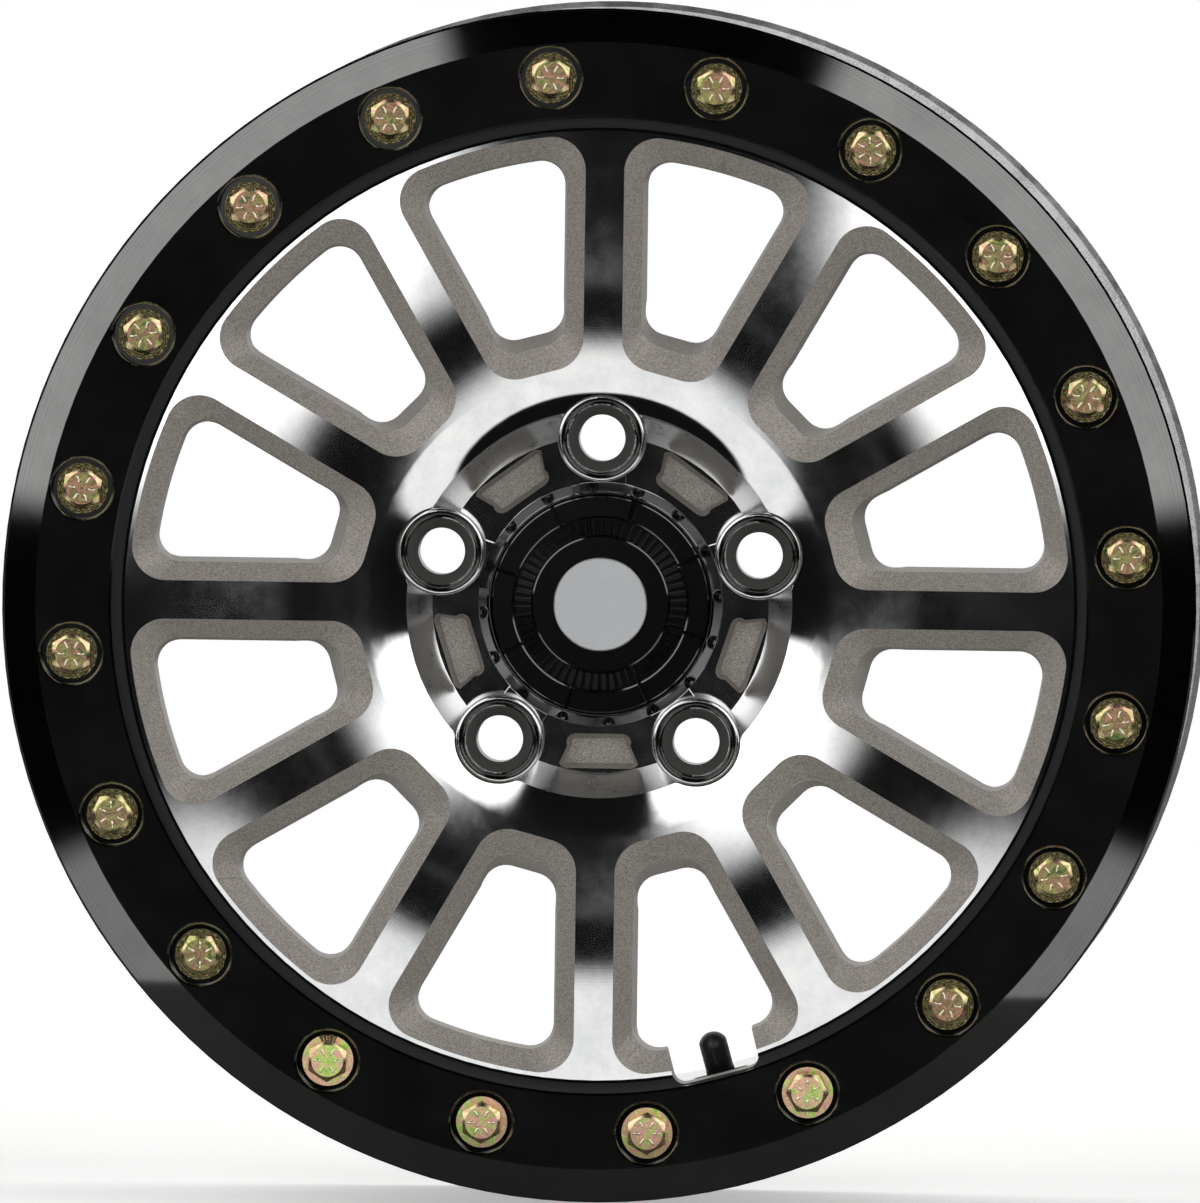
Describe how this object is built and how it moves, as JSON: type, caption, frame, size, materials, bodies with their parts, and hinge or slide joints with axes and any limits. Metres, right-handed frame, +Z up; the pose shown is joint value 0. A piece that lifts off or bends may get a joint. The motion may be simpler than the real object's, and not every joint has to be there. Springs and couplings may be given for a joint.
{
  "type": "beadlock wheel",
  "caption": "Off-road beadlock wheel with a spoked cast centre, a bolted clamp ring that grips the outer tyre bead, steel lug seats, a clipped centre cap and a snap-in valve.",
  "frame": {"origin": "on the wheel's axis, halfway between the front of the clamp ring and the back of the inboard flange", "axes": "+Y along the axle, pointing inboard, so the outboard face looks along -Y; +Z up; the valve is 75 degrees below +X"},
  "size_m": [0.4147, 0.2, 0.4148],
  "materials": {
    "cast_aluminium": "diamond-turned face, sparkle silver-grey paint in the windows and pockets",
    "black_anodised": "satin black, lathe turned",
    "yellow_zinc": "yellow chromated zinc plating",
    "polished_steel": "polished, with a turned taper",
    "gloss_black_abs": "gloss",
    "satin_black_abs": "satin",
    "silver_disc": "satin silver",
    "spring_steel": "drawn wire",
    "black_rubber": "moulded rubber",
    "brass": "turned",
    "valve_cap_nylon": "moulded nylon"
  },
  "bodies": {
    "rim": {"wheel": "cast_aluminium", "beadlock_ring": "black_anodised", "beadlock_bolts": "yellow_zinc", "beadlock_washers": "yellow_zinc", "lug_insert_1": "polished_steel", "lug_insert_2": "polished_steel", "lug_insert_3": "polished_steel", "lug_insert_4": "polished_steel", "lug_insert_5": "polished_steel", "cap_shell": "gloss_black_abs", "cap_face": "satin_black_abs", "cap_disc": "silver_disc", "cap_spring_ring": "spring_steel", "valve_rubber": "black_rubber", "valve_stem": "brass", "valve_core_body": "brass", "valve_core_spring": "spring_steel", "valve_core_seal": "black_rubber"},
    "valve_pin": {"valve_core_pin": "spring_steel"},
    "valve_cap": {"valve_cap": "valve_cap_nylon", "valve_cap_seal": "black_rubber"}
  },
  "joints": [
    {"name": "valve_cap_off", "type": "slide", "parent": "rim", "child": "valve_cap", "axis": [-0.2306, -0.454, 0.8606], "range_m": [0, 0.012]},
    {"name": "valve_pin_press", "type": "slide", "parent": "rim", "child": "valve_pin", "axis": [0.2306, 0.454, -0.8606], "range_m": [0, 0.0012], "stiffness_N_per_m": 300, "springref_m": -0.002, "deforming": ["valve_core_spring"]}
  ]
}
